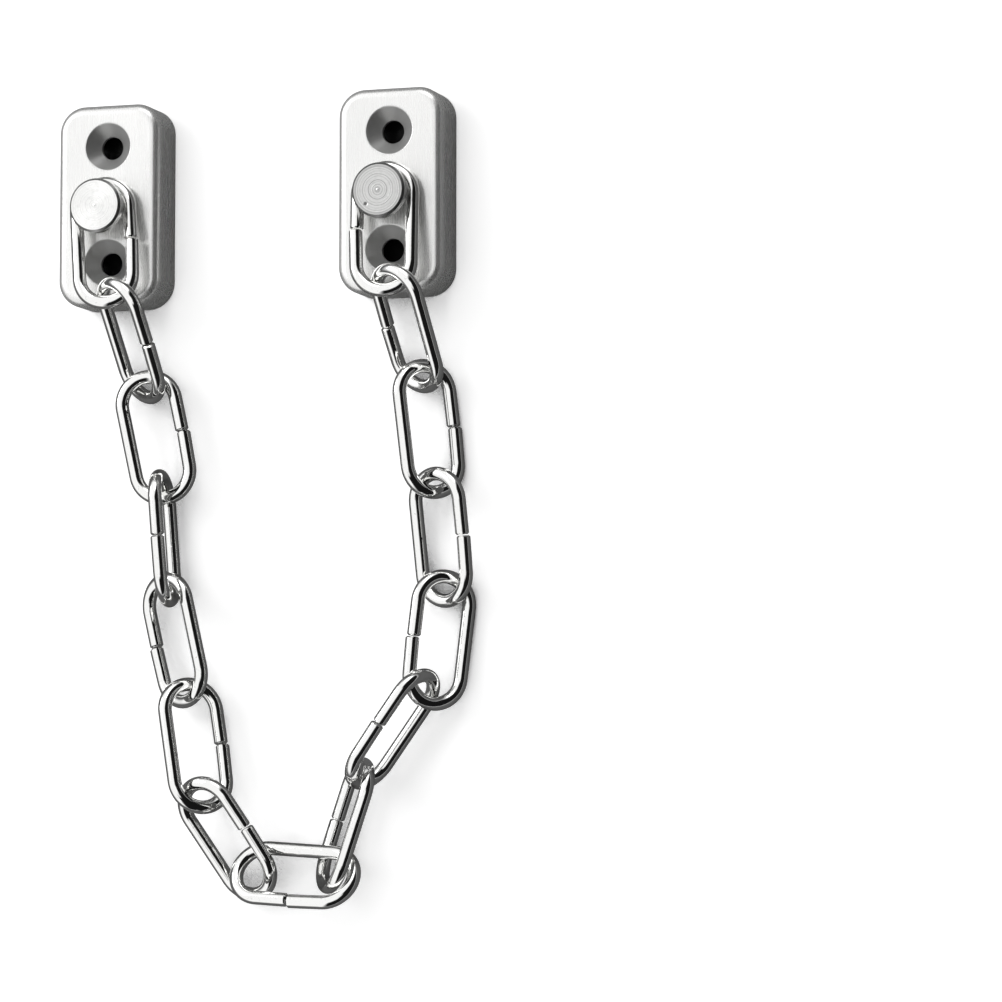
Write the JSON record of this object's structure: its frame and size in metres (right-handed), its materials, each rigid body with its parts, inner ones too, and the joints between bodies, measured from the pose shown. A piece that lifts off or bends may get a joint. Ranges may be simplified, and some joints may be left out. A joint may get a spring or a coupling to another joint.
{
  "type": "door chain guard",
  "caption": "Door chain guard laid flat: pressed oblong plates with headed pins and countersunk screw holes, joined by a slack chain of open bent-wire links.",
  "frame": {"origin": "the middle of the frame plate's open back, in the plane of its rim", "axes": "+Z out of the plates' faces, +Y up the frame plate along its two screw holes, +X towards the door plate"},
  "size_m": [0.0961, 0.1781, 0.0208],
  "materials": {
    "satin_plate": "satin stainless steel, fine vertical brushing on the face",
    "turned_pin": "bright turned stainless steel with concentric tool marks",
    "polished_wire": "mirror-polished stainless steel wire",
    "plain_washer": "plain stamped stainless steel"
  },
  "bodies": {
    "frame_side": {"frame_plate": "satin_plate", "frame_pin": "turned_pin", "frame_rivet_washer": "plain_washer"},
    "end_link_frame": {"end_link_frame": "polished_wire"},
    "chain_link_01": {"chain_link_01": "polished_wire"},
    "chain_link_02": {"chain_link_02": "polished_wire"},
    "chain_link_03": {"chain_link_03": "polished_wire"},
    "chain_link_04": {"chain_link_04": "polished_wire"},
    "chain_link_05": {"chain_link_05": "polished_wire"},
    "chain_link_06": {"chain_link_06": "polished_wire"},
    "chain_link_07": {"chain_link_07": "polished_wire"},
    "chain_link_08": {"chain_link_08": "polished_wire"},
    "chain_link_09": {"chain_link_09": "polished_wire"},
    "chain_link_10": {"chain_link_10": "polished_wire"},
    "chain_link_11": {"chain_link_11": "polished_wire"},
    "chain_link_12": {"chain_link_12": "polished_wire"},
    "chain_link_13": {"chain_link_13": "polished_wire"},
    "end_link_door": {"end_link_door": "polished_wire"},
    "door_side": {"door_plate": "satin_plate", "door_pin": "turned_pin", "door_rivet_washer": "plain_washer"}
  },
  "joints": [
    {"name": "frame_pin_swivel", "type": "hinge", "parent": "frame_side", "child": "end_link_frame", "pos_m": [0, -0.0012, 0.012], "axis": [0, 0, 1], "range_deg": [-63, 84]},
    {"name": "link_01_swing", "type": "hinge", "parent": "end_link_frame", "child": "chain_link_01", "pos_m": [0.0009, -0.02016, 0.01393], "axis": [0.3632, 0.6112, 0.7032], "range_deg": [-114, 5]},
    {"name": "link_02_swing", "type": "hinge", "parent": "chain_link_01", "child": "chain_link_02", "pos_m": [0.00428, -0.03981, 0.00611], "axis": [0.7117, 0.6907, -0.1283], "range_deg": [-2, 105]},
    {"name": "link_03_swing", "type": "hinge", "parent": "chain_link_02", "child": "chain_link_03", "pos_m": [0.0126, -0.06528, 0.00624], "axis": [-0.9856, -0.1, 0.136], "range_deg": [-54, 90]},
    {"name": "link_04_swing", "type": "hinge", "parent": "chain_link_03", "child": "chain_link_04", "pos_m": [0.01214, -0.08317, 0.00595], "axis": [0.8706, 0.2228, 0.4386], "range_deg": [-14, 120]},
    {"name": "link_05_swing", "type": "hinge", "parent": "chain_link_04", "child": "chain_link_05", "pos_m": [0.01944, -0.1064, 0.00658], "axis": [0.7314, -0.1251, -0.6704], "range_deg": [-108, 38]},
    {"name": "link_06_swing", "type": "hinge", "parent": "chain_link_05", "child": "chain_link_06", "pos_m": [0.02032, -0.1294, 0.01072], "axis": [-0.6719, -0.5815, -0.4587], "range_deg": [-41, 90]},
    {"name": "link_07_swing", "type": "hinge", "parent": "chain_link_06", "child": "chain_link_07", "pos_m": [0.0352, -0.14238, 0.00583], "axis": [-0.9598, -0.2645, 0.0944], "range_deg": [-20, 98]},
    {"name": "link_08_swing", "type": "hinge", "parent": "chain_link_07", "child": "chain_link_08", "pos_m": [0.05507, -0.14893, 0.01224], "axis": [0.5876, 0.6766, 0.4438], "range_deg": [-72, 0]},
    {"name": "link_09_swing", "type": "hinge", "parent": "chain_link_08", "child": "chain_link_09", "pos_m": [0.05888, -0.12759, 0.01239], "axis": [0.0176, 0.424, 0.9055], "range_deg": [-119, 11]},
    {"name": "link_10_swing", "type": "hinge", "parent": "chain_link_09", "child": "chain_link_10", "pos_m": [0.07379, -0.10949, 0.00424], "axis": [-0.451, -0.8156, -0.3625], "range_deg": [0, 113]},
    {"name": "link_11_swing", "type": "hinge", "parent": "chain_link_10", "child": "chain_link_11", "pos_m": [0.0806, -0.08782, 0.00556], "axis": [-0.6991, -0.6175, -0.3604], "range_deg": [-38, 75]},
    {"name": "link_12_swing", "type": "hinge", "parent": "chain_link_11", "child": "chain_link_12", "pos_m": [0.07235, -0.06281, 0.0056], "axis": [0.7402, 0.5618, 0.3694], "range_deg": [-20, 120]},
    {"name": "link_13_swing", "type": "hinge", "parent": "chain_link_12", "child": "chain_link_13", "pos_m": [0.07483, -0.04183, 0.00618], "axis": [-0.6331, -0.4013, -0.6619], "range_deg": [-74, 108]},
    {"name": "end_link_door_swing", "type": "hinge", "parent": "chain_link_13", "child": "end_link_door", "pos_m": [0.06469, -0.01995, 0.01361], "axis": [0.3998, 0.6349, 0.6611], "range_deg": [0, 120]},
    {"name": "door_pin_swivel", "type": "hinge", "parent": "end_link_door", "child": "door_side", "pos_m": [0.06587, -0.00095, 0.012], "axis": [0, 0, 1], "range_deg": [-120, 120]}
  ]
}
